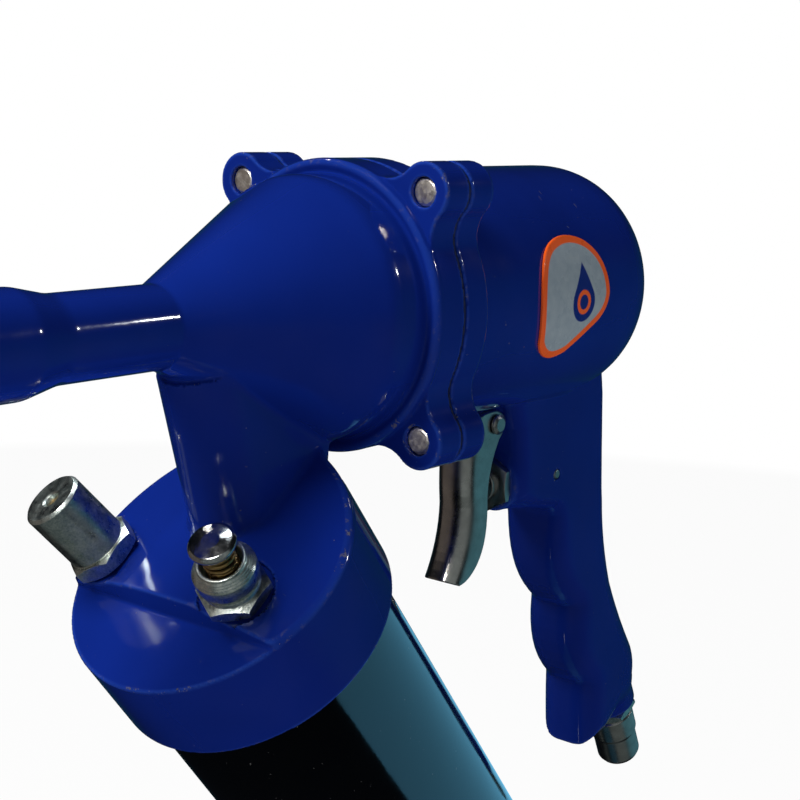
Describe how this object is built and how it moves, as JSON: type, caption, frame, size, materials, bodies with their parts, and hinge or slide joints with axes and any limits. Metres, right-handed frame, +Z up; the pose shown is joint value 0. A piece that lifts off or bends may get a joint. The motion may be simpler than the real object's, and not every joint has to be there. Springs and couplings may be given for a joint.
{
  "type": "pneumatic grease gun",
  "caption": "Pistol-grip air-operated grease gun with a cast pump head, a spring-loaded grease barrel, a delivery pipe and a coupler.",
  "frame": {"origin": "centre of the whole gun's bounding box; the air cylinder's axis lies at x 0.8 mm, z 111.9 mm, and its flange's front face at y 49.2 mm", "axes": "+Y along the air cylinder's axis towards the rear, +Z up, +X to the side that carries the badge"},
  "size_m": [0.0652, 0.3796, 0.2874],
  "materials": {
    "blue_paint": "glossy deep blue paint over cast alloy, chipped at the edges",
    "black_paint": "glossy black enamel",
    "zinc_plate": "mottled bright zinc plating",
    "chrome": "bright chrome",
    "steel": "ground steel",
    "spring_steel": "dark spring wire",
    "brass": "dull brass",
    "alloy": "turned",
    "rubber": "matt",
    "gasket_fibre": "matt fibre sheet",
    "badge": "satin grey plate with an orange rim"
  },
  "bodies": {
    "gun_body": {"pump_head": "blue_paint", "grip_housing": "blue_paint", "flange_gasket": "gasket_fibre", "flange_screw_1": "zinc_plate", "flange_screw_2": "zinc_plate", "flange_screw_3": "zinc_plate", "flange_screw_4": "zinc_plate", "badge_plate": "badge", "packing_gland_nut": "brass", "plunger_packing": "rubber", "return_spring": "spring_steel", "outlet_check_spring": "spring_steel", "outlet_spring_seat": "steel", "outlet_nut": "zinc_plate", "outlet_pipe": "zinc_plate", "coupler_body": "zinc_plate", "coupler_sleeve": "steel", "coupler_jaws": "steel", "barrel_tube": "black_paint", "barrel_gasket": "rubber", "barrel_end_cap": "black_paint", "follower_spring": "spring_steel", "filler_body": "zinc_plate", "filler_spring": "spring_steel", "bleeder_body": "zinc_plate", "bleeder_spring": "brass", "trigger_pin": "chrome", "valve_gland": "chrome", "valve_o_ring": "rubber", "valve_seat": "brass", "valve_spring": "spring_steel", "retaining_pin": "steel", "inlet_nipple": "zinc_plate"},
    "trigger": {"trigger": "chrome"},
    "valve_stem": {"valve_stem": "steel"},
    "air_piston": {"air_piston": "alloy", "piston_seal": "rubber", "piston_nut": "zinc_plate", "pump_plunger": "steel"},
    "follower": {"follower_plate": "steel", "follower_seal": "rubber", "follower_nut": "zinc_plate", "follower_rod": "zinc_plate", "rod_handle": "black_paint"},
    "bleeder_button": {"bleeder_button": "chrome"},
    "outlet_ball": {"outlet_check_ball": "steel"},
    "filler_ball": {"filler_check_ball": "brass"},
    "inlet_swivel": {"inlet_swivel": "chrome"}
  },
  "joints": [
    {"name": "trigger_pivot", "type": "hinge", "parent": "gun_body", "child": "trigger", "pos_m": [0.00085, 0.10619, 0.07893], "axis": [1, 0, 0], "range_deg": [0, 9]},
    {"name": "valve_stem_slide", "type": "slide", "parent": "gun_body", "child": "valve_stem", "axis": [0, 1, 0], "range_m": [0, 0.0026], "deforming": ["valve_spring"]},
    {"name": "air_piston_slide", "type": "slide", "parent": "gun_body", "child": "air_piston", "axis": [0, -1, 0], "range_m": [0, 0.04], "deforming": ["return_spring"]},
    {"name": "follower_slide", "type": "slide", "parent": "gun_body", "child": "follower", "axis": [0, 0.6099, -0.7925], "range_m": [0, 0.17], "deforming": ["follower_spring"]},
    {"name": "bleeder_button_slide", "type": "slide", "parent": "gun_body", "child": "bleeder_button", "axis": [-0.1961, 0.598, -0.7771], "range_m": [0, 0.0025], "deforming": ["bleeder_spring"]},
    {"name": "outlet_ball_slide", "type": "slide", "parent": "gun_body", "child": "outlet_ball", "axis": [0, -1, 0], "range_m": [0, 0.0015], "deforming": ["outlet_check_spring"]},
    {"name": "filler_ball_slide", "type": "slide", "parent": "gun_body", "child": "filler_ball", "axis": [0.1958, 0.6435, -0.74], "range_m": [0, 0.0015], "deforming": ["filler_spring"]},
    {"name": "inlet_swivel_turn", "type": "hinge", "parent": "gun_body", "child": "inlet_swivel", "pos_m": [0.00085, 0.17519, -0.01307], "axis": [0, 0.4299, -0.9029], "continuous": true}
  ],
  "couplings": [
    {"joint": "valve_stem_slide", "follows": "trigger_pivot", "m_per_rad": 0.0159}
  ]
}
